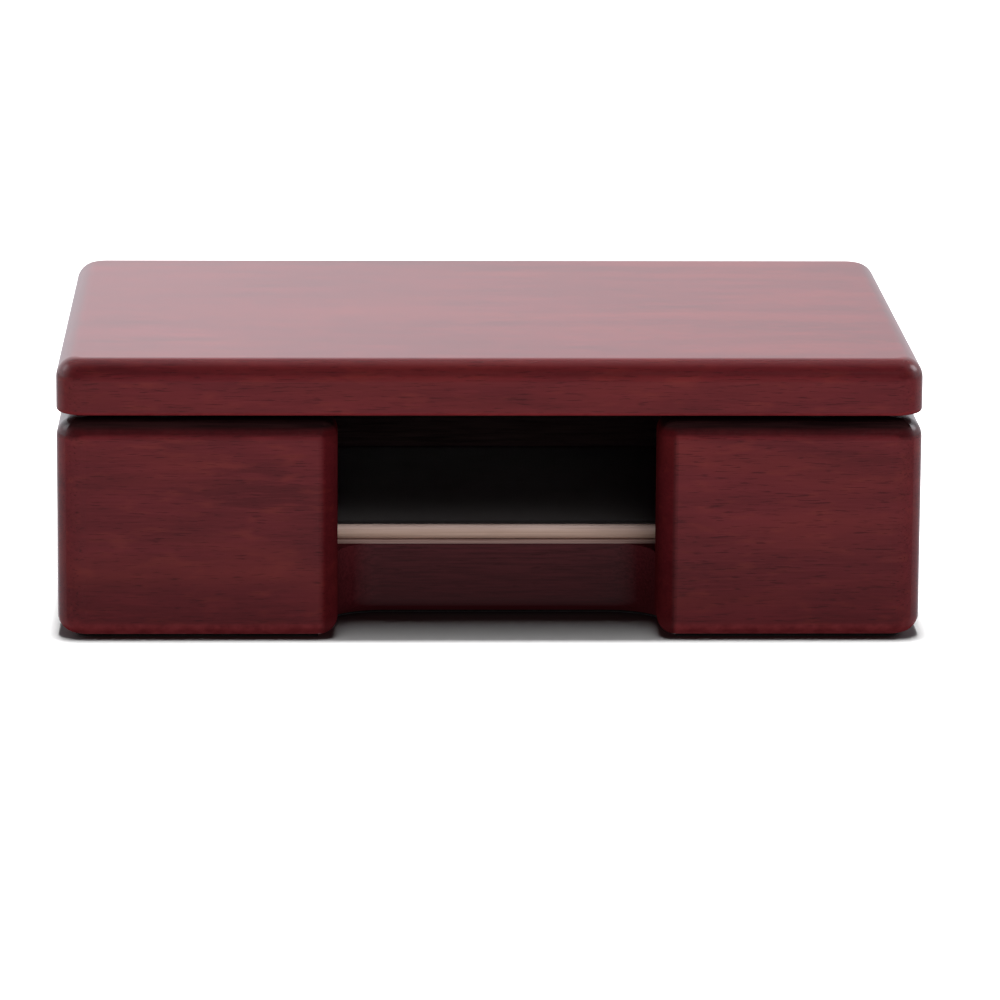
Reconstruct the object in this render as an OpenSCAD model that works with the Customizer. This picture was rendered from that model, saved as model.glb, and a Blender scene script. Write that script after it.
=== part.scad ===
// Desk box for business cards: lacquered hardwood walls round a card pocket, a finger notch routed
// through the front wall and the floor, and a flat lid on two butt hinges along the back edge.
// Frame: origin at the middle of the base's underside, +X right, -Y front, +Z up, millimetres.

/* [Cards] */
// Length of a card, across the box
card_w = 90; // [80:1:110]
// Depth of a card, front to back
card_l = 54; // [48:1:70]
// Room left round the cards on each side
card_clear = 2; // [1:0.5:5]

/* [Box] */
// Thickness of the two side walls
side_wall = 9; // [7:0.5:14]
// Thickness of the front wall
front_wall = 8; // [8:0.5:16]
// Thickness of the back wall
back_wall = 14; // [10:0.5:16]
// Thickness of the floor panel
floor_t = 9.5; // [6:0.1:14]
// Depth of the card pocket, from the liner's face to the top of the walls
pocket_h = 16.3; // [12:0.1:40]
// Plan radius of the outer corners of the box and the lid
corner_r = 4; // [3.5:0.5:8]
// Radius of the rounded-over edges of the box
edge_r = 2.5; // [1:0.1:3]

/* [Finger notch] */
// Width of the notch between the two front blocks
notch_w = 41.5; // [25:0.5:60]
// How far the middle of the notch lies to the right of the middle of the box
notch_shift = 1.05; // [-5:0.05:5]
// How far the notch runs into the floor panel behind the front wall
notch_bite = 6; // [2:0.5:8]
// Plan radius of the inner corners of the notch
notch_fillet = 6; // [1:0.5:8]

/* [Liner] */
// Thickness of the sheet under the liner board
backing_t = 0.5; // [0.3:0.1:1.5]
// Thickness of the liner board, whose front edge is a half round
core_t = 1.9; // [1:0.1:4]
// Thickness of the flocked face
flock_t = 0.3; // [0.2:0.1:1]
// How far the liner's front edge stands out past the back of the notch
liner_proud = 0.3; // [0:0.1:0.6]
// Gap between the liner and the pocket's walls
liner_clear = 0.3; // [0.1:0.1:1]

/* [Base and rests] */
// Thickness of the felt sheet under the box
felt_t = 0.4; // [0.3:0.1:2]
// Diameter of the rest dots under the lid
dot_d = 5; // [3:0.5:6]
// Distance of each rest dot's centre from the side of the box
dot_inset = 14; // [10:0.5:20]
// Air between the rest dots and the closed lid
dot_air = 0.05; // [0.02:0.01:0.2]

/* [Lid] */
// Gap between the box and the closed lid
lid_gap = 0.7; // [0.4:0.1:1.5]
// Thickness of the lid
lid_t = 7.2; // [6.5:0.1:12]
// Radius of the lid's rounded top edge
lid_edge_r = 2.7; // [1:0.1:3.2]
// Radius of the lid's eased lower edge
lid_ease_r = 0.6; // [0.3:0.1:1]

/* [Hinges] */
// Length of a hinge along the back edge
hinge_len = 20; // [14:1:26]
// Distance of each hinge's middle from the side of the box
hinge_inset = 24; // [18:1:34]
// How far the hinge axis lies behind the back face
hinge_out = 0.9; // [0.7:0.1:1.5]
// Width of a leaf, from the hinge axis to its far edge
leaf_w = 8; // [7:0.5:9.5]
// Thickness of a leaf
leaf_t = 0.8; // [0.5:0.05:1]
// Outside diameter of the knuckles
knuckle_d = 2.5; // [2.2:0.1:3.5]
// Gap between neighbouring knuckles
knuckle_gap = 0.2; // [0.1:0.05:0.4]
// Gap between a leaf and the knuckles of the other leaf
knuckle_air = 0.25; // [0.15:0.05:0.5]
// Diameter of the hinge pin
pin_d = 1.2; // [0.9:0.1:1.5]
// Radial clearance between the pin and the knuckles
pin_clear = 0.04; // [0.02:0.01:0.08]
// How far the pin stands out at each end
pin_end = 0.3; // [0.1:0.1:0.8]
// Gap between a leaf's edges and its mortise
mortise_clear = 0.15; // [0.05:0.05:0.4]

/* [Screws] */
// Distance between the two screws of a leaf
screw_spacing = 11; // [7:0.5:14]
// Shank diameter of a screw
screw_d = 1.4; // [1:0.1:2]
// Head diameter of a screw
screw_head_d = 2.6; // [2.2:0.1:3.5]
// Length of a screw
screw_len = 5; // [3.5:0.5:6]
// Length of a screw's point
screw_tip = 1.2; // [0.6:0.1:2]
// Width and depth of the driver slot
screw_slot = 0.35; // [0.25:0.05:0.5]
// Radial clearance of the screw holes
screw_clear = 0.05; // [0.02:0.01:0.1]

/* [Hidden] */
$fn = 64;

rosewood = [0.36, 0.13, 0.14];
dark_rosewood = [0.30, 0.10, 0.11];
cream = [0.80, 0.70, 0.62];
charcoal = [0.08, 0.07, 0.07];
brass = [0.78, 0.62, 0.33];
steel = [0.70, 0.66, 0.55];

LEFT = -1;
RIGHT = 1;
// A cut runs this far past the faces that it opens
past = 1;

// Plan
pocket_w = card_w + 2 * card_clear;
pocket_l = card_l + 2 * card_clear;
box_w = pocket_w + 2 * side_wall;
box_l = pocket_l + front_wall + back_wall;
front_y = -box_l / 2;
back_y = box_l / 2;
pocket_front_y = front_y + front_wall;
pocket_back_y = back_y - back_wall;
notch_left_x = notch_shift - notch_w / 2;
notch_right_x = notch_shift + notch_w / 2;
notch_back_y = pocket_front_y + notch_bite;
fillet_r = min(notch_fillet, notch_bite);
// The dots stand in the middle of the front wall's flat top
dot_y = (front_y + edge_r + pocket_front_y) / 2;

// Heights
floor_z = felt_t + floor_t;
core_z = floor_z + backing_t;
flock_z = core_z + core_t;
pocket_z = flock_z + flock_t;
body_top_z = pocket_z + pocket_h;
wall_h = body_top_z - felt_t;
lid_z = body_top_z + lid_gap;

// Liner
nose_r = core_t / 2;
liner_w = pocket_w - 2 * liner_clear;
liner_front_y = notch_back_y - liner_proud;
liner_l = pocket_back_y - liner_clear - liner_front_y;

// Hinges: a leaf's outer face lies just inside the rim of its knuckles
knuckle_r = knuckle_d / 2;
knuckle_lap = 0.05;
leaf_outer = knuckle_r - knuckle_lap;
leaf_inner = leaf_outer - leaf_t;
leaf_reach = knuckle_r + knuckle_air;
hinge_x = box_w / 2 - hinge_inset;
hinge_y = back_y + hinge_out;
hinge_z = body_top_z + lid_gap / 2;
middle_half = hinge_len / 3 / 2;
bore_r = pin_d / 2 + pin_clear;
screw_y = -(leaf_w + leaf_reach) / 2;
screw_r = screw_d / 2;
screw_head_r = screw_head_d / 2;
screw_head_h = screw_head_r - screw_r;

// Section of a board's edge, u inward from the edge and v up, both corners of the edge rounded
module edge_section(depth, h, r_low, r_top) {
    intersection() {
        square([depth, h]);
        union() {
            translate([0, r_low]) square([depth, h - r_low - r_top]);
            translate([r_low, 0]) square([depth, h / 2]);
            translate([r_top, h / 2]) square([depth, h / 2]);
            translate([r_low, r_low]) circle(r_low);
            translate([r_top, h - r_top]) circle(r_top);
        }
    }
}

// A quarter turn of that section about a plan corner's centre, in the +X +Y quarter
module corner_quarter(r, h, r_low, r_top) {
    rotate_extrude(angle = 90)
        intersection() {
            square([r, h]);
            translate([r, 0])
                mirror([1, 0])
                    edge_section(r + past, h, r_low, r_top);
        }
}

// A straight edge along Y, on the left of a block and facing -X
module side_edge(r, length, h, r_low, r_top) {
    rotate([90, 0, 0])
        linear_extrude(length)
            edge_section(r, h, r_low, r_top);
}

// A block with its front and both its sides rounded over, and a flat back at y1
module rounded_block(x0, x1, y0, y1, h, r_left, r_right, r_low, r_top) {
    translate([x0 + r_left, y0, 0])
        rotate([90, 0, 90])
            linear_extrude(x1 - x0 - r_left - r_right)
                edge_section(y1 - y0, h, r_low, r_top);
    translate([x0, y1, 0])
        side_edge(r_left, y1 - y0 - r_left, h, r_low, r_top);
    translate([x1, y1, 0])
        mirror([1, 0, 0])
            side_edge(r_right, y1 - y0 - r_right, h, r_low, r_top);
    translate([x0 + r_left, y0 + r_left, 0])
        rotate([0, 0, 180])
            corner_quarter(r_left, h, r_low, r_top);
    translate([x1 - r_right, y0 + r_right, 0])
        rotate([0, 0, 270])
            corner_quarter(r_right, h, r_low, r_top);
}

// A board with all four sides rounded over
module rounded_board(w, l, h, r, r_low, r_top) {
    for (back = [0, 1])
        mirror([0, back, 0])
            rounded_block(-w / 2, w / 2, -l / 2, 0, h, r, r, r_low, r_top);
}

// Rounded rectangle about the origin
module rounded_plan(w, l, r) {
    square([w - 2 * r, l], center = true);
    square([w, l - 2 * r], center = true);
    for (sx = [LEFT, RIGHT], sy = [-1, 1])
        translate([sx * (w / 2 - r), sy * (l / 2 - r)])
            circle(r);
}

// Plan of the finger notch, with its walls moved back into the wood by grow
module notch_plan(grow) {
    centre_y = notch_back_y - fillet_r;
    left_x = notch_left_x + fillet_r;
    right_x = notch_right_x - fillet_r;
    translate([notch_left_x - grow, front_y - past])
        square([notch_w + 2 * grow, centre_y - front_y + past]);
    translate([left_x, front_y - past])
        square([right_x - left_x, notch_back_y + grow - front_y + past]);
    for (x = [left_x, right_x])
        translate([x, centre_y])
            circle(fillet_r + grow);
}

// Outer end of the mitre between two walls, carried on past the box's corner by a share of its length
mitre_over = 0.25;
function mitre_end(inner, outer) = outer + (outer - inner) * mitre_over;

// Plan of a wall that runs between two mitres, given as pairs of inner and outer corners
module wall_plan(inner_a, outer_a, inner_b, outer_b) {
    polygon([mitre_end(inner_a, outer_a), inner_a, inner_b, mitre_end(inner_b, outer_b)]);
}

function inner_corner(side, y) = [side * pocket_w / 2, y];
function outer_corner(side, y) = [side * box_w / 2, y];

// The box's outside as one rounded board, kept inside one wall's plan
module wall_from_box() {
    intersection() {
        translate([0, 0, felt_t])
            rounded_board(box_w, box_l, wall_h, corner_r, edge_r, edge_r);
        translate([0, 0, felt_t - past])
            linear_extrude(wall_h + 2 * past)
                children();
    }
}

module side_wall_board(side) {
    wall_from_box()
        wall_plan(
            inner_corner(side, pocket_front_y), outer_corner(side, front_y),
            inner_corner(side, pocket_back_y), outer_corner(side, back_y)
        );
}

// Bottom edge of the notch in the floor panel, u into the wood and v up: what the rounding takes off
module lip_section(back_off) {
    difference() {
        translate([-back_off, -back_off]) square(edge_r + back_off);
        translate([edge_r, edge_r]) circle(edge_r);
    }
}

module floor_lip_cut() {
    back_off = fillet_r / 2;
    centre_y = notch_back_y - fillet_r;
    left_x = notch_left_x + fillet_r;
    right_x = notch_right_x - fillet_r;
    straight = centre_y - pocket_front_y;
    translate([left_x, notch_back_y, 0])
        rotate([90, 0, 90])
            linear_extrude(right_x - left_x)
                lip_section(back_off);
    for (corner = [[left_x, 1], [right_x, 0]])
        translate([corner[0], centre_y, 0])
            mirror([corner[1], 0, 0])
                rotate_extrude(angle = 90)
                    translate([fillet_r, 0])
                        lip_section(back_off);
    if (straight > 0)
        for (side = [[notch_left_x, 1], [notch_right_x, 0]])
            translate([side[0], centre_y, 0])
                mirror([side[1], 0, 0])
                    rotate([90, 0, 0])
                        linear_extrude(straight + past)
                            lip_section(back_off);
}

module floor_panel() {
    color(dark_rosewood)
        translate([0, 0, felt_t])
            difference() {
                linear_extrude(floor_t)
                    difference() {
                        translate([-pocket_w / 2, pocket_front_y]) square([pocket_w, pocket_l]);
                        notch_plan(0);
                    }
                floor_lip_cut();
            }
}

// A front block: the front wall between the side's mitre and the notch
module front_block(side, x0, x1, r_left, r_right) {
    inner = inner_corner(side, pocket_front_y);
    outer = mitre_end(inner, outer_corner(side, front_y));
    color(rosewood)
        intersection() {
            translate([0, 0, felt_t])
                rounded_block(x0, x1, front_y, pocket_front_y, wall_h, r_left, r_right, edge_r, edge_r);
            translate([0, 0, felt_t - past])
                linear_extrude(wall_h + 2 * past)
                    polygon([outer, inner, [0, pocket_front_y], [0, outer[1]]]);
        }
}

module front_left_block() {
    front_block(LEFT, -box_w / 2, notch_left_x, corner_r, edge_r);
}

module front_right_block() {
    front_block(RIGHT, notch_right_x, box_w / 2, edge_r, corner_r);
}

module left_side_wall() {
    color(rosewood) side_wall_board(LEFT);
}

module right_side_wall() {
    color(rosewood) side_wall_board(RIGHT);
}

module back_wall() {
    color(rosewood)
        difference() {
            wall_from_box()
                wall_plan(
                    inner_corner(LEFT, pocket_back_y), outer_corner(LEFT, back_y),
                    inner_corner(RIGHT, pocket_back_y), outer_corner(RIGHT, back_y)
                );
            for (side = [LEFT, RIGHT])
                at_hinge(side) leaf_seat();
        }
}

module base_felt() {
    color(charcoal)
        linear_extrude(felt_t)
            difference() {
                rounded_plan(box_w - 2 * edge_r, box_l - 2 * edge_r, corner_r - edge_r);
                notch_plan(edge_r);
            }
}

module liner_backing() {
    color(cream)
        translate([-liner_w / 2, liner_front_y, floor_z])
            cube([liner_w, liner_l, backing_t]);
}

module liner_core() {
    color(cream)
        translate([-liner_w / 2, liner_front_y, core_z])
            rotate([90, 0, 90])
                linear_extrude(liner_w) {
                    translate([nose_r, 0]) square([liner_l - nose_r, core_t]);
                    translate([nose_r, nose_r]) circle(nose_r);
                }
}

module liner_flock() {
    color(charcoal)
        translate([-liner_w / 2, liner_front_y + nose_r, flock_z])
            cube([liner_w, liner_l - nose_r, flock_t]);
}

module lid_rest_dots() {
    color(charcoal)
        for (side = [LEFT, RIGHT])
            translate([side * (box_w / 2 - dot_inset), dot_y, body_top_z])
                cylinder(d = dot_d, h = lid_gap - dot_air);
}

module lid_panel() {
    color(rosewood)
        difference() {
            translate([0, 0, lid_z])
                rounded_board(box_w, box_l, lid_t, corner_r, lid_ease_r, lid_edge_r);
            for (side = [LEFT, RIGHT])
                at_hinge(side)
                    mirror([0, 0, 1])
                        leaf_seat();
        }
}

// Hinge pieces are drawn about the hinge axis, which runs along X, for the leaf that lies below it
module at_hinge(side) {
    translate([side * hinge_x, hinge_y, hinge_z]) children();
}

module at_screws() {
    for (end = [LEFT, RIGHT])
        translate([end * screw_spacing / 2, screw_y, -leaf_inner])
            children();
}

// Mortise for a leaf, open to the back, with the screws' pilot holes
module leaf_seat() {
    half = hinge_len / 2 + mortise_clear;
    seat_l = leaf_w + mortise_clear;
    translate([-half, -seat_l, -leaf_outer])
        cube([2 * half, seat_l + past, leaf_outer + past]);
    at_screws() screw_hole();
}

module screw_hole() {
    r = screw_r + screw_clear;
    translate([0, 0, -screw_len - screw_clear])
        cylinder(r = r, h = screw_len + screw_clear);
    translate([0, 0, -screw_head_h])
        cylinder(r1 = r, r2 = r + screw_head_h, h = screw_head_h);
}

module screw() {
    difference() {
        rotate_extrude()
            polygon([
                [0, 0], [screw_head_r, 0], [screw_r, -screw_head_h],
                [screw_r, screw_tip - screw_len], [0, -screw_len]
            ]);
        translate([-screw_head_r, -screw_slot / 2, -screw_slot])
            cube([screw_head_d, screw_slot, screw_slot + past]);
    }
}

// Spans of the knuckles along the axis: the two outer ones, or the one in the middle
outer_spans = [
    [-hinge_len / 2, -middle_half - knuckle_gap / 2],
    [middle_half + knuckle_gap / 2, hinge_len / 2]
];
middle_span = [[-middle_half + knuckle_gap / 2, middle_half - knuckle_gap / 2]];

// A leaf: its plate, a tab to each of its own knuckles, the pin's bore and the screw holes
module hinge_leaf(spans) {
    color(brass)
        difference() {
            union() {
                translate([-hinge_len / 2, -leaf_w, -leaf_outer])
                    cube([hinge_len, leaf_w - leaf_reach, leaf_t]);
                for (span = spans) {
                    translate([span[0], -leaf_reach, -leaf_outer])
                        cube([span[1] - span[0], leaf_reach, leaf_t]);
                    translate([span[0], 0, 0])
                        rotate([0, 90, 0])
                            cylinder(d = knuckle_d, h = span[1] - span[0]);
                }
            }
            translate([-hinge_len / 2 - past, 0, 0])
                rotate([0, 90, 0])
                    cylinder(r = bore_r, h = hinge_len + 2 * past);
            at_screws() screw_hole();
        }
}

module body_leaf(side) {
    at_hinge(side) hinge_leaf(outer_spans);
}

module lid_leaf(side) {
    at_hinge(side)
        mirror([0, 0, 1])
            hinge_leaf(middle_span);
}

module hinge_pin(side) {
    color(brass)
        at_hinge(side)
            translate([-hinge_len / 2 - pin_end, 0, 0])
                rotate([0, 90, 0])
                    cylinder(d = pin_d, h = hinge_len + 2 * pin_end);
}

module hinge_body_screws() {
    color(steel)
        for (side = [LEFT, RIGHT])
            at_hinge(side)
                at_screws()
                    screw();
}

module hinge_lid_screws() {
    color(steel)
        for (side = [LEFT, RIGHT])
            at_hinge(side)
                mirror([0, 0, 1])
                    at_screws()
                        screw();
}

floor_panel();
front_left_block();
front_right_block();
left_side_wall();
right_side_wall();
back_wall();
base_felt();
liner_backing();
liner_core();
liner_flock();
lid_rest_dots();
body_leaf(LEFT);  // hinge_body_leaf_left
body_leaf(RIGHT);  // hinge_body_leaf_right
lid_leaf(LEFT);  // hinge_lid_leaf_left
lid_leaf(RIGHT);  // hinge_lid_leaf_right
hinge_pin(LEFT);  // hinge_pin_left
hinge_pin(RIGHT);  // hinge_pin_right
hinge_body_screws();
hinge_lid_screws();
lid_panel();
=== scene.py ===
"""Looks for the wooden business card box: materials, soft pieces, light and camera round its frame."""

import math

import bmesh
import bpy
from mathutils import Matrix, Vector, geometry, noise


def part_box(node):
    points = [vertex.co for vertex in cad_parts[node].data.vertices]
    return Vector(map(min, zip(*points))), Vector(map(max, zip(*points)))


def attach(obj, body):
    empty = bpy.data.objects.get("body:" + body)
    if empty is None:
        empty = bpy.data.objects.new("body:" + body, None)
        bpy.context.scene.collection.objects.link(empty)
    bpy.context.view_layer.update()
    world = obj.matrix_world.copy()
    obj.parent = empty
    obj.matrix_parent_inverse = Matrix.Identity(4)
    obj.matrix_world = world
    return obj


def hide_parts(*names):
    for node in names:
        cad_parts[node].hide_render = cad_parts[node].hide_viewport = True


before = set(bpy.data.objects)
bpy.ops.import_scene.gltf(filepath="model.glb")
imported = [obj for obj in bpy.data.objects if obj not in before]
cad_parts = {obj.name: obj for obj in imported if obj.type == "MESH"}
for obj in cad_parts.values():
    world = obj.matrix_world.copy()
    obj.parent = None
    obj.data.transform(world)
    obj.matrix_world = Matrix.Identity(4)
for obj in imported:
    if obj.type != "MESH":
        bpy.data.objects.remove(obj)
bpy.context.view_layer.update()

MM = 0.001

# Camera: place in mm, angles in degrees, lens and sensor in mm, nearest and farthest in metres.
CAMERA_AT_MM = (-21.87, -813.19, 180.71)
CAMERA_YAW = 1.712
CAMERA_PITCH = 11.835
CAMERA_ROLL = -0.351
CAMERA_LENS = 220.5
CAMERA_SENSOR = 36.0
CAMERA_NEAR = 0.01
CAMERA_FAR = 100.0

# Brightness of the surroundings, by direction.
SKY_COLOUR = (1.03, 1.0, 1.06, 1.0)
FRONT_SKY = 0.04
BACK_LEFT_SKY = 1.0
BACK_RIGHT_SKY = 0.76
ZENITH_FRONT = 0.05
ZENITH_BACK = 0.38
UNDER_FRONT = 0.16
UNDER_SIDE = 0.40
UNDER_BACK = 0.90

# Where one brightness goes over into the next, as a direction's x, y or z: from, to.
LEFT_TO_RIGHT = (-0.06, 0.12)
FRONT_TO_BACK = (-0.4, 0.3)
ZENITH_FRONT_TO_BACK = (-0.35, 0.2)
SKY_TO_ZENITH = (0.35, 0.75)
UNDER_FRONT_TO_SIDE = (-0.1, 0.4)
UNDER_SIDE_TO_BACK = (0.7, 0.95)
UNDER_TO_SKY = (-0.02, 0.02)

# Small bright spots in the surroundings: towards, and how bright. Their size is given as cosines.
GLINTS = (((0.79, 0.35, 0.50), 3.5), ((-0.79, 0.35, 0.50), 1.2))
GLINT_RIM_TO_CORE = (0.970, 0.990)

FLOOR_SIZE = 8.0
FLOOR_COLOUR = (0.22, 0.22, 0.22, 1.0)
FLOOR_ROUGHNESS = 0.8
FLOOR_SPECULAR = 0.1

# Softboxes: name, place and aim in metres, width and height in metres, watts, and what they light.
SOFTBOXES = (
    ("floor_softbox", (0.0, 0.04, 1.40), (0.0, 0.0, 0.0), (0.20, 0.20), 173.0, "floor"),
    ("notch_softbox", (0.0, -0.24, 1.18), (0.0, -0.03, 0.0), (0.40, 0.48), 14.5, "floor"),
    ("lid_softbox", (0.0, 0.765, 1.326), (0.0, 0.0, 0.0), (1.7, 0.6), 41.0, "box"),
    ("front_softbox", (0.40, -0.88, 0.75), (0.0, 0.0, 0.02), (0.9, 0.35), 4.0, "box"),
    ("low_fill", (0.10, -1.30, 0.30), (0.0, 0.0, 0.015), (0.6, 0.15), 1.30, "box"),
    ("left_fill", (-1.0, -0.35, 0.35), (0.0, 0.0, 0.02), (0.5, 0.5), 1.4, "box"),
    ("right_fill", (1.0, -0.35, 0.35), (0.0, 0.0, 0.02), (0.5, 0.5), 0.62, "box"),
    ("front_bounce", (0.0, -0.281, 0.0005), (0.0, -0.281, 1.0), (0.6, 0.438), 0.9, "box"),
)

WOOD_LIGHT = (0.180, 0.0178, 0.0230)
WOOD_WARM = (0.190, 0.0205, 0.0200)
WOOD_FLECK = (0.210, 0.0250, 0.0212)
WOOD_MID = (0.145, 0.0138, 0.0182)
WOOD_DARK = (0.102, 0.0102, 0.0134)
# Pore colour; the floor board also takes it as painted shade towards its lower lip.
WOOD_PORE_AND_SHADE = (0.040, 0.0050, 0.0064)
# Lighter, redder lower edges: part rubbed wear, part painted light from below.
WOOD_RUBBED_AND_LIT = (0.335, 0.0480, 0.0540)
# Painted shade for upper edges under the lid and for the edges towards the notch.
WOOD_PAINTED_SHADE = (0.034, 0.0034, 0.0046)
STAINED_LIGHT = (0.078, 0.0470, 0.0460)
STAINED_DARK = (0.032, 0.0185, 0.0185)
# Painted shade on the rim under the lid, lighter and darker along the streaks.
SHADED_RIM_LIGHT = (0.030, 0.0105, 0.0110)
SHADED_RIM_DARK = (0.010, 0.0042, 0.0046)
# The floor board's colours, darkened as painted shade for its recess under the lid.
SHADED_PANEL_LIGHT = (0.094, 0.0150, 0.0190)
SHADED_PANEL_DARK = (0.042, 0.0070, 0.0090)
BOARD_LIGHT = (0.915, 0.715, 0.640)
BOARD_DARK = (0.700, 0.510, 0.445)
# Painted shade for the underside of the liner's rounded nose.
BOARD_SHADED = (0.520, 0.310, 0.195)
SHEET_LIGHT = (0.430, 0.280, 0.245)
SHEET_DARK = (0.320, 0.195, 0.170)
FELT_LIGHT = (0.0240, 0.0226, 0.0226)
FELT_DARK = (0.0048, 0.0045, 0.0045)
FLOCK_LIGHT = (0.036, 0.0290, 0.0290)
FLOCK_DARK = (0.012, 0.0092, 0.0092)
SHEEN_TINT = (0.30, 0.29, 0.29, 1.0)
BRASS_LIGHT = (0.800, 0.600, 0.290)
BRASS_DARK = (0.480, 0.320, 0.120)
SCREW_LIGHT = (0.560, 0.370, 0.150)
SCREW_DARK = (0.250, 0.150, 0.055)

# Sizes in mm of the wood's marks: along the grain, then across it.
FIGURE_MM = (38.0, 5.5)
PATCH_MM = (26.0, 5.5)
WARM_MM = (32.0, 6.5)
FLECK_MM = (5.0, 1.2)
FIBRE_MM = (7.0, 0.36)
PORE_MM = (2.6, 0.17)

# Sizes in mm of all other marks: along x, y and z.
WEAR_MM = (1.6, 1.6, 1.6)
PEEL_MM = (1.1, 1.1, 1.1)
LAYER_MM = (18.0, 9.0, 0.16)
PAPER_MM = (0.9, 0.9, 0.12)
DIRT_MM = (7.0, 7.0, 2.0)
FELT_FIBRE_MM = (0.35, 0.35, 0.35)
FLOCK_FIBRE_MM = (0.16, 0.16, 0.16)
TUFT_MM = (1.8, 1.8, 1.8)
NAP_MM = (14.0, 9.0, 9.0)
TARNISH_MM = (2.2, 2.2, 2.2)
LEAF_STROKE_MM = (6.0, 0.12, 0.12)
PIN_STROKE_MM = (9.0, 0.15, 0.15)
SCREW_STROKE_MM = (0.3, 0.3, 0.3)

# Noise values between which a mark comes in, then how much of it shows at each (0 and 1 if not given).
FIGURE_SHOWS = (0.34, 0.66)
PATCH_SHOWS = (0.48, 0.74, 0.0, 0.7)
LIGHT_FIBRE_SHOWS = (0.50, 0.70, 0.0, 0.55)
DARK_FIBRE_SHOWS = (0.46, 0.28, 0.0, 0.65)
WARM_SHOWS = (0.48, 0.70, 0.0, 0.6)
FLECK_SHOWS = (0.55, 0.74, 0.0, 0.5)
PORE_SHOWS = (0.59, 0.67, 0.0, 0.54)
STREAK_SHOWS = (0.38, 0.62)
WEAR_SHOWS = (0.35, 0.65)
PANEL_FIBRE_SHOWS = (0.28, 0.60)
PANEL_PATCH_SHOWS = (0.45, 0.75, 0.0, 0.5)
PANEL_PORE_SHOWS = (0.62, 0.70, 0.0, 0.75)
LAYER_SHOWS = (0.36, 0.64)
PAPER_SHOWS = (0.62, 0.80, 0.0, 0.35)
DIRT_SHOWS = (0.55, 0.75, 0.0, 0.4)
FELT_FIBRE_SHOWS = (0.35, 0.68)
TUFT_SHOWS = (0.3, 0.7, 0.6, 1.0)
NAP_SHOWS = (0.35, 0.65, 0.55, 1.0)
TARNISH_SHOWS = (0.40, 0.72, 0.0, 0.7)

# Roughness in the same way, by the noise of a surface's fibres or strokes.
WOOD_ROUGHNESS = (0.3, 0.7, 0.42, 0.58)
BOARD_ROUGHNESS = (0.3, 0.7, 0.72, 0.92)
FELT_ROUGHNESS = (0.3, 0.7, 0.85, 1.0)
BRASS_ROUGHNESS = (0.3, 0.7, 0.20, 0.34)
DULL_BRASS_ROUGHNESS = 0.15

# Bumps: strength, then height in mm. Reliefs say how much a second mark adds to the first.
WOOD_BUMP = (0.10, 0.02)
PEEL_BUMP = (0.05, 0.02)
BOARD_BUMP = (0.35, 0.05)
FELT_BUMP = (0.8, 0.10)
BRASS_BUMP = (0.12, 0.02)
PORE_RELIEF = 0.5
PAPER_RELIEF = 0.6
TUFT_RELIEF = 0.5

# How far a normal turns to a side, between which an effect on that side comes in.
EDGE_TURNS = (0.004, 0.06)
LOWER_WORN = (0.0, 0.60)
# Lower edges' rubbed wear and painted light from below come in between these.
LOWER_RUBBED_AND_LIT = (0.0, 0.50)
# Painted shade on upper edges comes in between these.
UPPER_SHADED = (0.0, 0.20)
SIDE_WORN = (0.03, 0.30)
TOP_WORN = (0.40, 0.65)
# The rim's painted shade comes in between these.
RIM_SHADED = (0.42, 0.68)
SIDE_STAINED = (0.90, 0.97)
PANEL_FRONT = (0.75, 0.97)

# Strengths, from 0 to 1.
FULL_COAT = 1.0
PANEL_COAT = 0.8
WORN_COAT = 0.0
LACQUER_ROUGHNESS = 0.23
LACQUER_IOR = 1.5
RUBBED_AND_LIT_LEAST_AND_MOST = (0.45, 0.95)
SHADE_LEAST_AND_MOST = (0.85, 1.0)
# Painted shade on the edges towards the notch: how dark, and where it starts, as a share of turn.
SIDE_SHADE = 0.85
SIDE_SHADE_STARTS = 0.1
# How much painted shade the floor board takes at its lower lip.
PANEL_FOOT_SHADE = 0.8
# How much painted shade the liner's nose takes on its underside.
NOSE_SHADE = 0.5
BOARD_SPECULAR = 0.25
FELT_SPECULAR = 0.1
FELT_SHEEN = 0.10
FLOCK_SHEEN = 0.38
SHEEN_ROUGHNESS = 0.55
RUBBED_BRASS = 0.5

# The liner's nose is darkened with painted shade between these depths below its crown.
SHADED_BELOW_MM = (0.15, 0.90)

# Soft pieces: sizes in mm, and shares of a step, a depth or a height.
WELD_MM = 0.001
SHEET_STEP_MM = 1.5
SHEET_RIM_MM = 0.12
SHEET_RUFFLE_MM = 0.05
UNDERSIDE_RUFFLE = 0.5
RIM_ROOM = 0.6
RUFFLE_COARSE_MM = 2.6
RUFFLE_FINE_MM = 0.9
RUFFLE_MEAN = 0.5
RUFFLE_COARSE = 0.4
RUFFLE_FINE = 0.3
DOT_RUFFLE_MM = 0.04
DOT_RUFFLED_ABOVE = 0.5
DOT_RINGS = 8
DOT_SIDES = 40

# A dot's side, from its foot to where its crown begins: parts of its radius and of its height.
DOT_SIDE = ((0.97, 0.0), (1.0, 0.25), (1.0, 0.6), (0.96, 0.82), (0.88, 0.93))

# Triangulation: keep what is inside the outline, and join points closer than this, in metres.
FILL_INSIDE = 1
FILL_NEAR = 1e-7

# Each axis of a noise is shifted by its own multiple of the seed.
SEED_SHIFTS = (1.0, 1.7, 2.3)

# The colour sockets of a Mix node: the two that go in, and the one that comes out.
MIX_FIRST = 6
MIX_SECOND = 7
MIX_RESULT = 2


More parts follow.
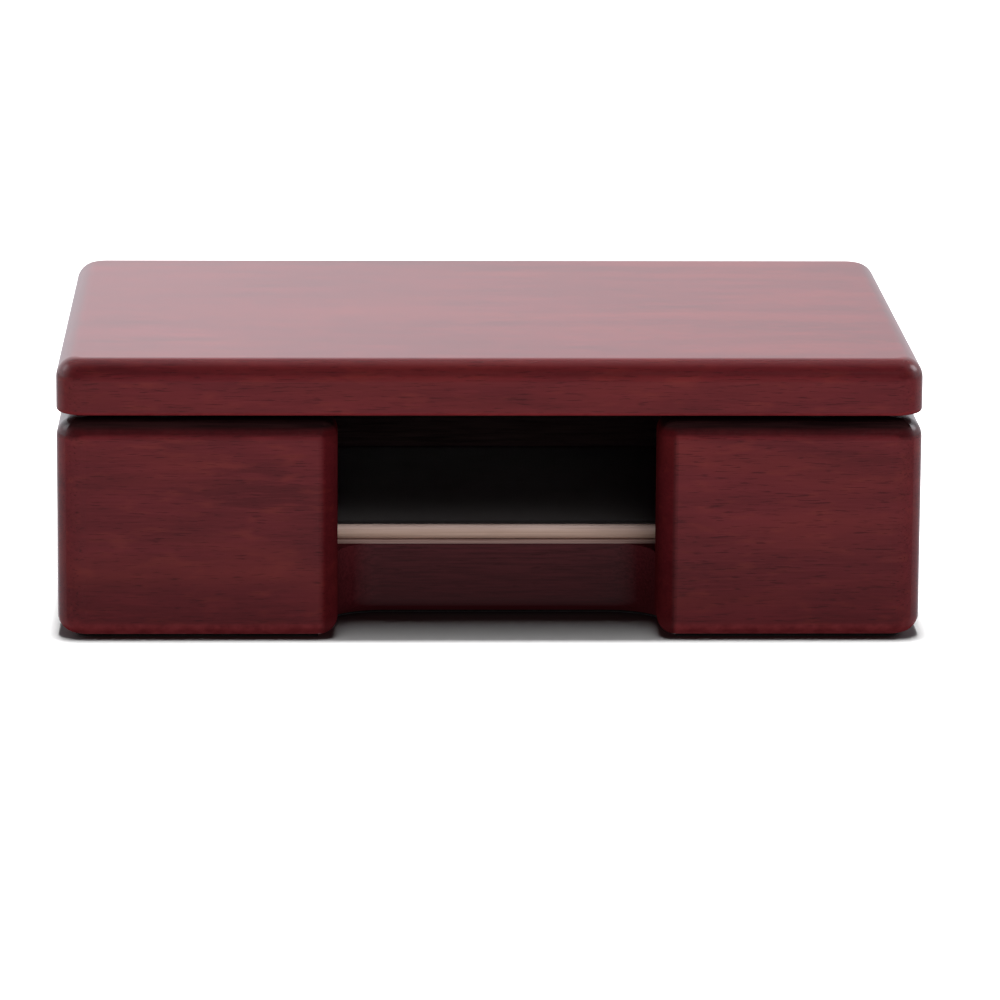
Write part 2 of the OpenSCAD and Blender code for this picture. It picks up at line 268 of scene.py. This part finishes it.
class Net:
    """A material's node tree, with short calls for the nodes used here."""

    def __init__(self, name):
        self.material = bpy.data.materials.new(name)
        self.material.use_nodes = True
        self.tree = self.material.node_tree
        self.tree.nodes.clear()
        self.shader = self.add("ShaderNodeBsdfPrincipled")
        output = self.add("ShaderNodeOutputMaterial")
        self.link(self.shader.outputs["BSDF"], output.inputs["Surface"])
        self.coords = self.add("ShaderNodeTexCoord")

    def add(self, kind, **settings):
        node = self.tree.nodes.new(kind)
        for name, value in settings.items():
            setattr(node, name, value)
        return node

    def link(self, source, target):
        self.tree.links.new(source, target)

    def feed(self, target, value):
        """Links a socket to the target, or sets a number or colour on it."""
        if isinstance(value, bpy.types.NodeSocket):
            self.link(value, target)
        else:
            target.default_value = value

    def math(self, operation, first, second=0.0):
        node = self.add("ShaderNodeMath", operation=operation)
        self.feed(node.inputs[0], first)
        self.feed(node.inputs[1], second)
        return node.outputs[0]

    def span(self, value, low, high, to_low=0.0, to_high=1.0):
        """A value that goes from to_low to to_high as the given one goes from low to high."""
        node = self.add("ShaderNodeMapRange", clamp=True)
        self.feed(node.inputs["Value"], value)
        node.inputs["From Min"].default_value = low
        node.inputs["From Max"].default_value = high
        node.inputs["To Min"].default_value = to_low
        node.inputs["To Max"].default_value = to_high
        return node.outputs["Result"]

    def mix(self, factor, first, second):
        """From the first colour to the second. Each is a socket or three numbers."""
        node = self.add("ShaderNodeMix", data_type="RGBA")
        self.feed(node.inputs["Factor"], factor)
        for place, colour in ((MIX_FIRST, first), (MIX_SECOND, second)):
            if isinstance(colour, tuple):
                colour = (*colour, 1.0)
            self.feed(node.inputs[place], colour)
        return node.outputs[MIX_RESULT]

    def noise(self, size_mm, seed, detail=2.0, roughness=0.5, distortion=0.0):
        """Noise whose marks are about size_mm (along x, y and z) across, in the object's own frame."""
        mapping = self.add("ShaderNodeMapping")
        self.link(self.coords.outputs["Object"], mapping.inputs["Vector"])
        mapping.inputs["Location"].default_value = [shift * seed for shift in SEED_SHIFTS]
        mapping.inputs["Scale"].default_value = [1.0 / (MM * size) for size in size_mm]
        texture = self.add("ShaderNodeTexNoise")
        self.link(mapping.outputs["Vector"], texture.inputs["Vector"])
        texture.inputs["Scale"].default_value = 1.0
        texture.inputs["Detail"].default_value = detail
        texture.inputs["Roughness"].default_value = roughness
        texture.inputs["Distortion"].default_value = distortion
        return texture.outputs["Fac"]

    def parts(self, output):
        """The x, y and z of the object's own coordinates or normal."""
        node = self.add("ShaderNodeSeparateXYZ")
        self.link(self.coords.outputs[output], node.inputs["Vector"])
        return node.outputs

    def bump(self, height, strength, height_mm):
        node = self.add("ShaderNodeBump")
        node.inputs["Strength"].default_value = strength
        node.inputs["Distance"].default_value = height_mm * MM
        self.link(height, node.inputs["Height"])
        return node.outputs["Normal"]

    def set(self, **values):
        for name, value in values.items():
            self.feed(self.shader.inputs[name.replace("_", " ")], value)


def stretched(along, sizes):
    """A noise size in mm that is long along the grain and narrow across it."""
    length, width = sizes
    return {"X": (length, width, width), "Y": (width, length, width)}[along]


def facing(net, side, low, high):
    """How far a surface faces a side, such as "+X" or "-Y", from 0 at low to 1 at high."""
    part = net.parts("Normal")["XYZ".index(side[1])]
    if side[0] == "-":
        part = net.math("MULTIPLY", part, -1.0)
    return net.span(part, low, high)


def turned_edge(net):
    """1 on rounded edges, where a surface turns off the main axes, and 0 on the flats."""
    x, y, z = net.parts("Normal")
    widest = net.math("MAXIMUM", net.math("ABSOLUTE", x), net.math("ABSOLUTE", y))
    widest = net.math("MAXIMUM", widest, net.math("ABSOLUTE", z))
    return net.span(net.math("SUBTRACT", 1.0, widest), *EDGE_TURNS)


def worn_share(net, wear, least_and_most, strength):
    """A share that changes with the wear along an edge."""
    least, most = least_and_most
    return net.span(wear, *WEAR_SHOWS, least * strength, most * strength)


def bare_wood(net, along, seed):
    """Wood before shade and light are painted on its edges: its colour, its fibres and pores, and streaks
    for stained faces and the painted-shade rim.

    What is added to the seed, here and below, only keeps the noises of one material apart.
    """
    figure = net.noise(stretched(along, FIGURE_MM), seed, detail=3.0, roughness=0.55, distortion=0.6)
    patches = net.noise(stretched(along, PATCH_MM), seed + 11.0)
    fibre = net.noise(stretched(along, FIBRE_MM), seed + 23.0, detail=4.0, roughness=0.6)
    pores = net.noise(stretched(along, PORE_MM), seed + 37.0)
    warm = net.noise(stretched(along, WARM_MM), seed + 79.0)
    fleck = net.noise(stretched(along, FLECK_MM), seed + 91.0)
    pore_mask = net.span(pores, *PORE_SHOWS)
    colour = net.mix(net.span(figure, *FIGURE_SHOWS), WOOD_DARK, WOOD_MID)
    colour = net.mix(net.span(patches, *PATCH_SHOWS), colour, WOOD_LIGHT)
    colour = net.mix(net.span(fibre, *LIGHT_FIBRE_SHOWS), colour, WOOD_LIGHT)
    colour = net.mix(net.span(fibre, *DARK_FIBRE_SHOWS), colour, WOOD_DARK)
    colour = net.mix(net.span(warm, *WARM_SHOWS), colour, WOOD_WARM)
    colour = net.mix(net.span(fleck, *FLECK_SHOWS), colour, WOOD_FLECK)
    colour = net.mix(pore_mask, colour, WOOD_PORE_AND_SHADE)
    streaks = net.span(net.math("MULTIPLY", net.math("ADD", fibre, figure), 0.5), *STREAK_SHOWS)
    return colour, fibre, pore_mask, streaks


def rosewood(
    name, along, seed, shaded=0.85, rubbed_and_lit=1.0, rim=True, shaded_side=None, turn=0.4, stained_side=None
):
    """Dark red-brown wood under lacquer, with its grain along x or y.

    Upper edges and the edges on the given side towards the notch get painted shade, fully where the
    normal has turned there by turn. Lower edges are lighter and redder, part rubbed wear and part painted
    light from below. The rim gets painted shade, near black, and stained_side is stained black. There is
    no lacquer on lower edges, on that side and the rim next to it, and on stained_side.
    """
    net = Net(name)
    colour, fibre, pore_mask, streaks = bare_wood(net, along, seed)
    wear = net.noise(WEAR_MM, seed + 51.0, detail=3.0, roughness=0.6)
    edge = turned_edge(net)
    worn = net.math("MULTIPLY", edge, facing(net, "-Z", *LOWER_WORN))
    # Lower edges are lighter and redder: part rubbed wear, part painted light from the floor below.
    foot = net.math("MULTIPLY", edge, facing(net, "-Z", *LOWER_RUBBED_AND_LIT))
    foot = net.math("MULTIPLY", foot, worn_share(net, wear, RUBBED_AND_LIT_LEAST_AND_MOST, rubbed_and_lit))
    colour = net.mix(foot, colour, WOOD_RUBBED_AND_LIT)
    # Upper edges get painted shade, as the lid shades them from above.
    dark = net.math("MULTIPLY", edge, facing(net, "+Z", *UPPER_SHADED))
    if shaded_side:
        # Edges towards the notch get painted shade, as the other block shades them.
        side = facing(net, shaded_side, SIDE_SHADE_STARTS * turn, turn)
        dark = net.math("MAXIMUM", dark, net.math("MULTIPLY", side, SIDE_SHADE))
        worn = net.math("MAXIMUM", worn, facing(net, shaded_side, *SIDE_WORN))
        worn = net.math("MAXIMUM", worn, facing(net, "+Z", *TOP_WORN))
    dark = net.math("MULTIPLY", dark, worn_share(net, wear, SHADE_LEAST_AND_MOST, shaded))
    colour = net.mix(dark, colour, WOOD_PAINTED_SHADE)
    # The rim's top is painted near black: painted shade under the lid.
    if rim:
        darkened = facing(net, "+Z", *RIM_SHADED)
        colour = net.mix(darkened, colour, net.mix(streaks, SHADED_RIM_DARK, SHADED_RIM_LIGHT))
    if stained_side:
        darkened = facing(net, stained_side, *SIDE_STAINED)
        colour = net.mix(darkened, colour, net.mix(streaks, STAINED_DARK, STAINED_LIGHT))
        worn = net.math("MAXIMUM", worn, darkened)
    lacquer(net, colour, fibre, pore_mask, seed, net.span(worn, 0.0, 1.0, FULL_COAT, WORN_COAT))
    return net.material


def lacquer(net, colour, fibre, pore_mask, seed, coat):
    """Wood of one colour under a coat with a faint orange peel."""
    height = net.math("SUBTRACT", fibre, net.math("MULTIPLY", pore_mask, PORE_RELIEF))
    peel = net.noise(PEEL_MM, seed + 67.0)
    net.set(
        Base_Color=colour,
        Roughness=net.span(fibre, *WOOD_ROUGHNESS),
        Specular_IOR_Level=0.0,
        Normal=net.bump(height, *WOOD_BUMP),
        Coat_Weight=coat,
        Coat_Roughness=LACQUER_ROUGHNESS,
        Coat_IOR=LACQUER_IOR,
        Coat_Normal=net.bump(peel, *PEEL_BUMP),
    )


def dark_rosewood(name, seed):
    """The floor board: the same wood, darkened as painted shade for its recess under the lid, and darker
    towards its lower lip as more painted shade.

    Only its front is glossy.
    """
    net = Net(name)
    fibre = net.noise(stretched("X", FIBRE_MM), seed, detail=4.0, roughness=0.6)
    pores = net.noise(stretched("X", PORE_MM), seed + 13.0)
    patches = net.noise(stretched("X", PATCH_MM), seed + 29.0)
    colour = net.mix(net.span(fibre, *PANEL_FIBRE_SHOWS), SHADED_PANEL_DARK, SHADED_PANEL_LIGHT)
    colour = net.mix(net.span(patches, *PANEL_PATCH_SHOWS), colour, SHADED_PANEL_LIGHT)
    pore_mask = net.span(pores, *PANEL_PORE_SHOWS)
    colour = net.mix(pore_mask, colour, WOOD_PORE_AND_SHADE)
    low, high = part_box("floor_panel")
    # Darker towards the lower lip: painted shade.
    foot = net.span(net.parts("Object")[2], high.z, low.z, 0.0, PANEL_FOOT_SHADE)
    colour = net.mix(foot, colour, WOOD_PORE_AND_SHADE)
    front = facing(net, "-Y", *PANEL_FRONT)
    lacquer(net, colour, fibre, pore_mask, seed, net.span(front, 0.0, 1.0, WORN_COAT, PANEL_COAT))
    return net.material


def cream_board(name, seed, light, dark, shade_share=0.0):
    """Bare cream board: thin layers along its edge, paper fibre and a little handling dirt.

    The last argument is how far the board is darkened with painted shade below the crown of its rounded
    nose.
    """
    net = Net(name)
    layers = net.noise(LAYER_MM, seed, detail=3.0, roughness=0.6)
    fibre = net.noise(PAPER_MM, seed + 9.0, detail=3.0, roughness=0.6)
    dirt = net.noise(DIRT_MM, seed + 21.0, detail=3.0, roughness=0.55)
    colour = net.mix(net.span(layers, *LAYER_SHOWS), dark, light)
    colour = net.mix(net.span(fibre, *PAPER_SHOWS), colour, dark)
    colour = net.mix(net.span(dirt, *DIRT_SHOWS), colour, dark)
    # Painted shade on the nose's underside, darker further below its crown.
    if shade_share:
        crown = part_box("liner_core")[1].z
        start, full = (crown - depth * MM for depth in SHADED_BELOW_MM)
        below = net.span(net.parts("Object")[2], start, full, 0.0, shade_share)
        colour = net.mix(below, colour, BOARD_SHADED)
    height = net.math("ADD", layers, net.math("MULTIPLY", fibre, PAPER_RELIEF))
    net.set(
        Base_Color=colour,
        Roughness=net.span(fibre, *BOARD_ROUGHNESS),
        Specular_IOR_Level=BOARD_SPECULAR,
        Normal=net.bump(height, *BOARD_BUMP),
    )
    return net.material


def pressed_felt(name, seed, fibre_mm, light, dark, sheen):
    """Black felt or flock: short tangled fibres with a soft grey sheen."""
    net = Net(name)
    fibre = net.noise(fibre_mm, seed, detail=4.0, roughness=0.65, distortion=1.2)
    tuft = net.noise(TUFT_MM, seed + 13.0)
    nap = net.noise(NAP_MM, seed + 27.0)
    shade = net.math("MULTIPLY", net.span(fibre, *FELT_FIBRE_SHOWS), net.span(tuft, *TUFT_SHOWS))
    shade = net.math("MULTIPLY", shade, net.span(nap, *NAP_SHOWS))
    height = net.math("ADD", fibre, net.math("MULTIPLY", tuft, TUFT_RELIEF))
    net.set(
        Base_Color=net.mix(shade, dark, light),
        Roughness=net.span(fibre, *FELT_ROUGHNESS),
        Specular_IOR_Level=FELT_SPECULAR,
        Sheen_Weight=sheen,
        Sheen_Roughness=SHEEN_ROUGHNESS,
        Sheen_Tint=SHEEN_TINT,
        Normal=net.bump(height, *FELT_BUMP),
    )
    return net.material


def satin_brass(name, seed, stroke_mm, light=BRASS_LIGHT, dark=BRASS_DARK):
    """Brushed brass that has dulled a little, brighter where its edges are rubbed."""
    net = Net(name)
    stroke = net.noise(stroke_mm, seed, detail=3.0, roughness=0.6)
    tarnish = net.noise(TARNISH_MM, seed + 17.0, detail=3.0, roughness=0.6)
    dull = net.span(tarnish, *TARNISH_SHOWS)
    colour = net.mix(dull, light, dark)
    colour = net.mix(net.math("MULTIPLY", turned_edge(net), RUBBED_BRASS), colour, light)
    roughness = net.span(stroke, *BRASS_ROUGHNESS)
    roughness = net.math("ADD", roughness, net.math("MULTIPLY", dull, DULL_BRASS_ROUGHNESS))
    net.set(
        Base_Color=colour,
        Metallic=1.0,
        Roughness=roughness,
        Normal=net.bump(stroke, *BRASS_BUMP),
    )
    return net.material


def dress(material, *names):
    """Puts one material on CAD nodes, which keep their shape and place."""
    for name in names:
        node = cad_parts[name]
        node.data.materials.clear()
        node.data.materials.append(material)


def dress_frame():
    """Gives every CAD node that stays its material. The numbers are the materials' seeds."""
    lid = rosewood("lacquered_lid", "X", 3.0, shaded=0.45, rubbed_and_lit=0.25, rim=False)
    dress(lid, "lid_panel")
    left_block = rosewood("lacquered_front_left", "X", 19.0, shaded_side="+X", stained_side="+Y")
    dress(left_block, "front_left_block")
    right_block = rosewood("lacquered_front_right", "X", 31.0, shaded_side="-X", turn=0.2, stained_side="+Y")
    dress(right_block, "front_right_block")
    dress(rosewood("lacquered_back", "X", 43.0, stained_side="-Y"), "back_wall")
    dress(rosewood("lacquered_left", "Y", 57.0, stained_side="+X"), "left_side_wall")
    dress(rosewood("lacquered_right", "Y", 71.0, stained_side="-X"), "right_side_wall")
    dress(dark_rosewood("lacquered_floor", 83.0), "floor_panel")
    dress(cream_board("cream_board", 5.0, BOARD_LIGHT, BOARD_DARK, NOSE_SHADE), "liner_core")
    dress(cream_board("cream_sheet", 15.0, SHEET_LIGHT, SHEET_DARK), "liner_backing")
    leaves = [f"hinge_{part}_leaf_{side}" for part in ("body", "lid") for side in ("left", "right")]
    dress(satin_brass("brushed_leaf_brass", 7.0, LEAF_STROKE_MM), *leaves)
    dress(satin_brass("drawn_pin_brass", 25.0, PIN_STROKE_MM), "hinge_pin_left", "hinge_pin_right")
    screws = satin_brass("turned_screw_brass", 41.0, SCREW_STROKE_MM, SCREW_LIGHT, SCREW_DARK)
    dress(screws, "hinge_body_screws", "hinge_lid_screws")


def piece(name, mesh, material, replaced):
    """A soft piece of the box that stands for one CAD node."""
    mesh.materials.append(material)
    mesh.shade_smooth()
    made = bpy.data.objects.new(name, mesh)
    bpy.context.scene.collection.objects.link(made)
    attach(made, "box")
    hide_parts(replaced)
    return made


def outline(node_name):
    """The outline of a flat CAD node, as points in order round its lowest face."""
    built = bmesh.new()
    built.from_mesh(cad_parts[node_name].data)
    bmesh.ops.remove_doubles(built, verts=built.verts, dist=WELD_MM * MM)
    low = min(v.co.z for v in built.verts)
    flat = {f for f in built.faces if all(abs(v.co.z - low) < WELD_MM * MM for v in f.verts)}
    rim = [e for e in built.edges if len(flat.intersection(e.link_faces)) == 1]
    following = {}
    for edge in rim:
        for loop in edge.link_loops:
            if loop.face in flat:
                following[loop.vert.index] = loop.link_loop_next.vert.index
    places = {v.index: v.co.xy.copy() for v in built.verts}
    built.free()
    start = next(iter(following))
    points = [places[start]]
    at = following[start]
    while at != start:
        points.append(places[at])
        at = following[at]
    return points[::-1]


def resampled(points, step):
    """The same closed outline with points about one step apart."""
    made = []
    for here, there in zip(points, points[1:] + points[:1]):
        count = max(1, round((there - here).length / step))
        made += [here.lerp(there, i / count) for i in range(count)]
    return made


def drawn_in(points, amount):
    """A closed outline moved inwards; the points run anticlockwise."""
    made = []
    for before, here, after in zip(points[-1:] + points[:-1], points, points[1:] + points[:1]):
        along = (after - before).normalized()
        made.append(here + Vector((-along.y, along.x)) * amount)
    return made


def inside(point, points):
    """Whether a point lies in a closed outline."""
    hit = False
    for a, b in zip(points, points[1:] + points[:1]):
        if (a.y > point.y) != (b.y > point.y):
            if point.x < a.x + (point.y - a.y) * (b.x - a.x) / (b.y - a.y):
                hit = not hit
    return hit


def area_of(points):
    turns = (a.x * b.y - b.x * a.y for a, b in zip(points, points[1:] + points[:1]))
    return abs(sum(turns)) / 2


def filled(points, step):
    """Triangles over a closed outline with points about one step apart inside it."""
    low = Vector((min(p.x for p in points), min(p.y for p in points)))
    high = Vector((max(p.x for p in points), max(p.y for p in points)))
    room = drawn_in(points, RIM_ROOM * step)
    across, along = (max(1, round(size / step)) for size in high - low)
    grid = []
    for i in range(1, across):
        for j in range(1, along):
            spot = Vector((low.x + (high.x - low.x) * i / across, low.y + (high.y - low.y) * j / along))
            if inside(spot, room):
                grid.append(spot)
    border = list(range(len(points)))
    made = geometry.delaunay_2d_cdt(points + grid, [], [border], FILL_INSIDE, FILL_NEAR)
    spots, faces, origins = made[0], made[2], made[3]
    place_of = {origin: i for i, found in enumerate(origins) for origin in found}
    ring = [place_of[i] for i in border]
    return spots, faces, ring


def ruffle(x, y, seed, amount):
    """A small height that is never below 0, for a soft surface."""
    coarse = noise.noise(Vector((x / (RUFFLE_COARSE_MM * MM), y / (RUFFLE_COARSE_MM * MM), seed)))
    fine = noise.noise(Vector((x / (RUFFLE_FINE_MM * MM), y / (RUFFLE_FINE_MM * MM), seed + 40.0)))
    share = RUFFLE_MEAN + RUFFLE_COARSE * coarse + RUFFLE_FINE * fine
    return amount * min(1.0, max(0.0, share))


def soft_sheet(name, node, material, seed):
    """A thin felt sheet with an uneven face and a rounded rim, in the space of its CAD node."""
    rim = resampled(outline(node), SHEET_STEP_MM * MM)
    low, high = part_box(node)
    spots, faces, ring = filled(drawn_in(rim, SHEET_RIM_MM * MM), SHEET_STEP_MM * MM)
    depth = SHEET_RUFFLE_MM * MM
    under = [(p.x, p.y, low.z + ruffle(p.x, p.y, seed, UNDERSIDE_RUFFLE * depth)) for p in spots]
    over = [(p.x, p.y, high.z - ruffle(p.x, p.y, seed + 9.0, depth)) for p in spots]
    middle = [(p.x, p.y, (low.z + high.z) / 2) for p in rim]
    count = len(spots)
    made = [tuple(reversed(face)) for face in faces]
    made += [tuple(count + i for i in face) for face in faces]
    for i in range(len(rim)):
        j = (i + 1) % len(rim)
        made.append((ring[i], ring[j], 2 * count + j, 2 * count + i))
        made.append((2 * count + i, 2 * count + j, count + ring[j], count + ring[i]))
    mesh = bpy.data.meshes.new(name)
    mesh.from_pydata(under + over + middle, [], made)
    sheet = piece(name, mesh, material, node)
    area_of(rim)


def rest_dots(material):
    """Two crowned felt dots that the lid comes down on."""
    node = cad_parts["lid_rest_dots"]
    places, faces = [], []
    for side in (-1, 1):
        points = [v.co for v in node.data.vertices if v.co.x * side > 0]
        low = Vector([min(p[i] for p in points) for i in range(3)])
        high = Vector([max(p[i] for p in points) for i in range(3)])
        crowned_dot(places, faces, low, high, 5.0 * side)
    mesh = bpy.data.meshes.new("felt_rest_dots")
    mesh.from_pydata(places, [], faces)
    dots = piece("felt_rest_dots", mesh, material, "lid_rest_dots")


def crowned_dot(places, faces, low, high, seed):
    """Adds one dot to a mesh: a flat foot, a round side and a slightly crowned top."""
    start = len(places)
    centre = (low + high) / 2
    radius = (high.x - low.x) / 2
    tall = high.z - low.z
    profile = list(DOT_SIDE)
    shoulder, rise = DOT_SIDE[-1]
    for i in range(1, DOT_RINGS):
        profile.append((shoulder * (1.0 - i / DOT_RINGS), rise + (1.0 - rise) * i / DOT_RINGS))
    for out, up in profile:
        for k in range(DOT_SIDES):
            turn = 2 * math.pi * k / DOT_SIDES
            x = centre.x + radius * out * math.cos(turn)
            y = centre.y + radius * out * math.sin(turn)
            sunk = ruffle(x, y, seed, DOT_RUFFLE_MM * MM) if up > DOT_RUFFLED_ABOVE else 0.0
            places.append((x, y, low.z + tall * up - sunk))
    for i in range(len(profile) - 1):
        for k in range(DOT_SIDES):
            n = (k + 1) % DOT_SIDES
            row = start + i * DOT_SIDES
            above = row + DOT_SIDES
            faces.append((row + k, row + n, above + n, above + k))
    last = start + (len(profile) - 1) * DOT_SIDES
    faces.append(tuple(last + k for k in range(DOT_SIDES)))
    faces.append(tuple(start + k for k in reversed(range(DOT_SIDES))))


def soft_pieces():
    """The felt and flock, which take the place of their CAD nodes. The numbers are seeds."""
    felt = pressed_felt("black_felt", 9.0, FELT_FIBRE_MM, FELT_LIGHT, FELT_DARK, FELT_SHEEN)
    flock = pressed_felt("black_flock", 29.0, FLOCK_FIBRE_MM, FLOCK_LIGHT, FLOCK_DARK, FLOCK_SHEEN)
    soft_sheet("felt_base_sheet", "base_felt", felt, 1.0)
    soft_sheet("flock_face", "liner_flock", flock, 2.0)
    rest_dots(felt)


def camera():
    """The photograph's viewpoint, looking down at the notched front."""
    yaw, pitch, roll = (math.radians(angle) for angle in (CAMERA_YAW, CAMERA_PITCH, CAMERA_ROLL))
    ahead = Vector((
        math.sin(yaw) * math.cos(pitch),
        math.cos(yaw) * math.cos(pitch),
        -math.sin(pitch),
    ))
    level = Vector((math.cos(yaw), -math.sin(yaw), 0.0))
    upright = level.cross(ahead)
    right = level * math.cos(roll) - upright * math.sin(roll)
    up = level * math.sin(roll) + upright * math.cos(roll)
    turn = Matrix((right, up, -ahead)).transposed().to_4x4()
    data = bpy.data.cameras.new("camera")
    data.lens = CAMERA_LENS
    data.sensor_width = CAMERA_SENSOR
    data.clip_start = CAMERA_NEAR
    data.clip_end = CAMERA_FAR
    made = bpy.data.objects.new("camera", data)
    made.matrix_world = Matrix.Translation(Vector(CAMERA_AT_MM) * MM) @ turn
    bpy.context.scene.collection.objects.link(made)
    bpy.context.scene.camera = made


def surroundings():
    """A white sweep behind the box, and darker surroundings in front, above and below."""
    world = bpy.data.worlds.new("surroundings")
    world.use_nodes = True
    tree = world.node_tree
    background = tree.nodes["Background"]
    background.inputs["Color"].default_value = SKY_COLOUR
    coords = tree.nodes.new("ShaderNodeTexCoord")
    parts = tree.nodes.new("ShaderNodeSeparateXYZ")
    tree.links.new(coords.outputs["Generated"], parts.inputs["Vector"])
    x, y, z = parts.outputs
    sky = world_step(tree, x, LEFT_TO_RIGHT, BACK_LEFT_SKY, BACK_RIGHT_SKY)
    sky = world_step(tree, y, FRONT_TO_BACK, FRONT_SKY, sky)
    zenith = world_step(tree, y, ZENITH_FRONT_TO_BACK, ZENITH_FRONT, ZENITH_BACK)
    sky = world_step(tree, z, SKY_TO_ZENITH, sky, zenith)
    under = world_step(tree, y, UNDER_FRONT_TO_SIDE, UNDER_FRONT, UNDER_SIDE)
    under = world_step(tree, y, UNDER_SIDE_TO_BACK, under, UNDER_BACK)
    sky = world_step(tree, z, UNDER_TO_SKY, under, sky)
    for towards, strength in GLINTS:
        sky = world_glint(tree, coords.outputs["Generated"], towards, strength, sky)
    tree.links.new(sky, background.inputs["Strength"])
    bpy.context.scene.world = world
    bpy.context.scene.view_settings.view_transform = "Standard"


def world_glint(tree, direction, towards, strength, sky):
    """A small bright spot added to the surroundings, which the round corners mirror."""
    across = tree.nodes.new("ShaderNodeVectorMath")
    across.operation = "DOT_PRODUCT"
    tree.links.new(direction, across.inputs[0])
    across.inputs[1].default_value = Vector(towards).normalized()
    spot = world_step(tree, across.outputs["Value"], GLINT_RIM_TO_CORE, 0.0, strength)
    total = tree.nodes.new("ShaderNodeMath")
    total.operation = "ADD"
    tree.links.new(sky, total.inputs[0])
    tree.links.new(spot, total.inputs[1])
    return total.outputs[0]


def world_step(tree, value, ends, below, above):
    """A smooth step of the surroundings' brightness, from below to above, between two ends of a value."""
    node = tree.nodes.new("ShaderNodeMapRange")
    node.interpolation_type = "SMOOTHSTEP"
    tree.links.new(value, node.inputs["Value"])
    node.inputs["From Min"].default_value = ends[0]
    node.inputs["From Max"].default_value = ends[1]
    for name, amount in (("To Min", below), ("To Max", above)):
        if isinstance(amount, float):
            node.inputs[name].default_value = amount
        else:
            tree.links.new(amount, node.inputs[name])
    return node.outputs["Result"]


def softbox(name, place, aim, size, watts, lit):
    """A soft light on the box or on the floor.

    It gives no streak on the lacquer, which mirrors only the surroundings.
    """
    data = bpy.data.lights.new(name, "AREA")
    data.shape = "RECTANGLE"
    data.size, data.size_y = size
    data.energy = watts
    light = bpy.data.objects.new(name, data)
    light.location = place
    light.rotation_euler = (Vector(aim) - Vector(place)).to_track_quat("-Z", "Y").to_euler()
    light.visible_glossy = False
    light.visible_camera = False
    bpy.context.scene.collection.objects.link(light)
    light.light_linking.receiver_collection = lit


def lit_only(name, thing, state):
    """What a light reaches: only this thing, or all but this thing."""
    group = bpy.data.collections.new(name)
    group.objects.link(thing)
    group.collection_objects[0].light_linking.link_state = state
    return group


def studio():
    ground = floor()
    lit = {
        "floor": lit_only("lit_floor", ground, "INCLUDE"),
        "box": lit_only("lit_box", ground, "EXCLUDE"),
    }
    for name, place, aim, size, watts, target in SOFTBOXES:
        softbox(name, place, aim, size, watts, lit[target])


def floor():
    """The plain pale surface that the box stands on."""
    half = FLOOR_SIZE / 2
    corners = [(-half, -half, 0.0), (half, -half, 0.0), (half, half, 0.0), (-half, half, 0.0)]
    mesh = bpy.data.meshes.new("floor")
    mesh.from_pydata(corners, [], [(0, 1, 2, 3)])
    net = Net("pale_floor")
    net.set(Base_Color=FLOOR_COLOUR, Roughness=FLOOR_ROUGHNESS, Specular_IOR_Level=FLOOR_SPECULAR)
    mesh.materials.append(net.material)
    made = bpy.data.objects.new("floor", mesh)
    made.visible_diffuse = False
    made.visible_glossy = False
    bpy.context.scene.collection.objects.link(made)
    return made


camera()
surroundings()
studio()
dress_frame()
soft_pieces()
